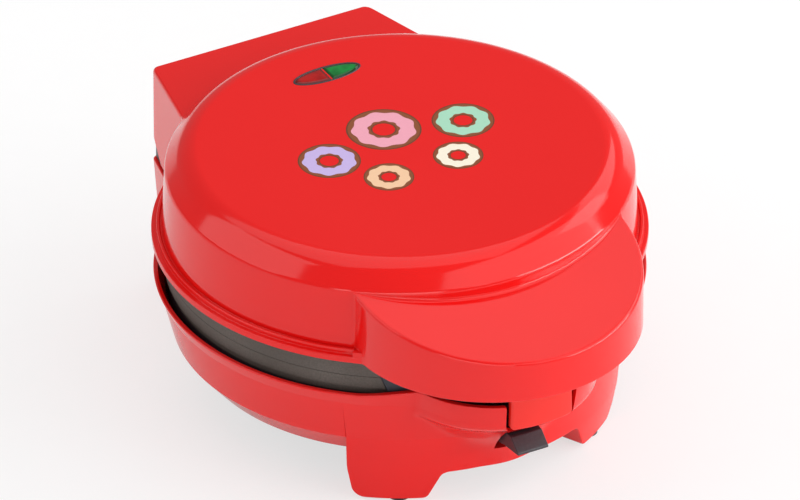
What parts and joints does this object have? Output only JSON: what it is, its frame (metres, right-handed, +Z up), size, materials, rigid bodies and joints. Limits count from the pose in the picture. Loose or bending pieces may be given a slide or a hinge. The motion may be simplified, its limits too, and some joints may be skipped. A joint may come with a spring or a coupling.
{
  "type": "donut maker",
  "caption": "Round countertop donut maker: hinged gloss-red lid with front handle and latch over a legged base, with removable heated plates.",
  "frame": {"origin": "on the table under the middle of the whole machine's outline", "axes": "+Z up, -Y towards the handle, +X to the right when seen from the handle"},
  "size_m": [0.237, 0.3038, 0.1336],
  "materials": {
    "red_gloss": "high-gloss red moulding",
    "black_phenolic": "matt black phenolic",
    "guard_plastic": "satin blue-black plastic",
    "cast_nonstick": "cast aluminium with a grey non-stick coating",
    "pan_steel": "bright pressed steel",
    "screw_steel": "zinc-plated steel",
    "element_sheath": "dull alloy sheath",
    "cover_steel": "black painted sheet",
    "red_lens": "clear tinted polycarbonate, red",
    "green_lens": "clear tinted polycarbonate, green",
    "lamp_glass": "neon lamps",
    "ceramic": "glazed ceramic and porcelain-like moulding",
    "rubber": "matt black rubber",
    "wire_sleeve": "glass-fibre wire sleeve"
  },
  "bodies": {
    "base": {"base_shell": "red_gloss", "bottom_cover": "cover_steel", "cover_screws": "screw_steel", "rubber_feet": "rubber", "base_hinge_block": "black_phenolic", "base_hinge_screws": "screw_steel", "hinge_pins": "screw_steel", "lower_carrier": "black_phenolic", "lower_carrier_screws": "screw_steel", "lower_heat_pan": "pan_steel", "lower_element": "element_sheath", "lower_element_clips": "pan_steel", "lower_plate": "cast_nonstick", "lower_plate_clips": "pan_steel", "lever_pin": "screw_steel", "lever_spring": "screw_steel", "thermal_fuse": "ceramic", "terminal_block": "ceramic", "base_wiring": "wire_sleeve", "cord_gland": "rubber"},
    "release_lever": {"lower_release_lever": "black_phenolic"},
    "lid": {"lid_shell": "red_gloss", "lens_bezel": "black_phenolic", "power_lens": "red_lens", "ready_lens": "green_lens", "lamp_holder": "black_phenolic", "signal_lamps": "lamp_glass", "handle_plate": "black_phenolic", "finger_guard": "guard_plastic", "latch_pin": "screw_steel", "lid_hinge_block": "black_phenolic", "lid_hinge_screws": "screw_steel", "upper_carrier": "black_phenolic", "upper_carrier_screws": "screw_steel", "upper_heat_pan": "pan_steel", "upper_element": "element_sheath", "upper_element_clips": "pan_steel", "upper_plate": "cast_nonstick", "upper_plate_clips": "pan_steel", "upper_slide_springs": "screw_steel", "thermostat": "ceramic", "lid_wiring": "wire_sleeve"},
    "release_slide": {"upper_release_slide": "black_phenolic"},
    "latch": {"latch": "red_gloss"}
  },
  "joints": [
    {"name": "lid_hinge", "type": "hinge", "parent": "base", "child": "lid", "pos_m": [0, 0.14565, 0.0734], "axis": [-1, 0, 0], "range_deg": [0, 100]},
    {"name": "latch_hinge", "type": "hinge", "parent": "lid", "child": "latch", "pos_m": [0, -0.13015, 0.0905], "axis": [-1, 0, 0], "range_deg": [0, 35]},
    {"name": "lower_release", "type": "hinge", "parent": "base", "child": "release_lever", "pos_m": [0, -0.10285, 0.05], "axis": [1, 0, 0], "range_deg": [0, 14], "stiffness_Nm_per_rad": 0.6},
    {"name": "upper_release", "type": "slide", "parent": "lid", "child": "release_slide", "axis": [0, 1, 0], "range_m": [0, 0.003], "stiffness_N_per_m": 400}
  ]
}
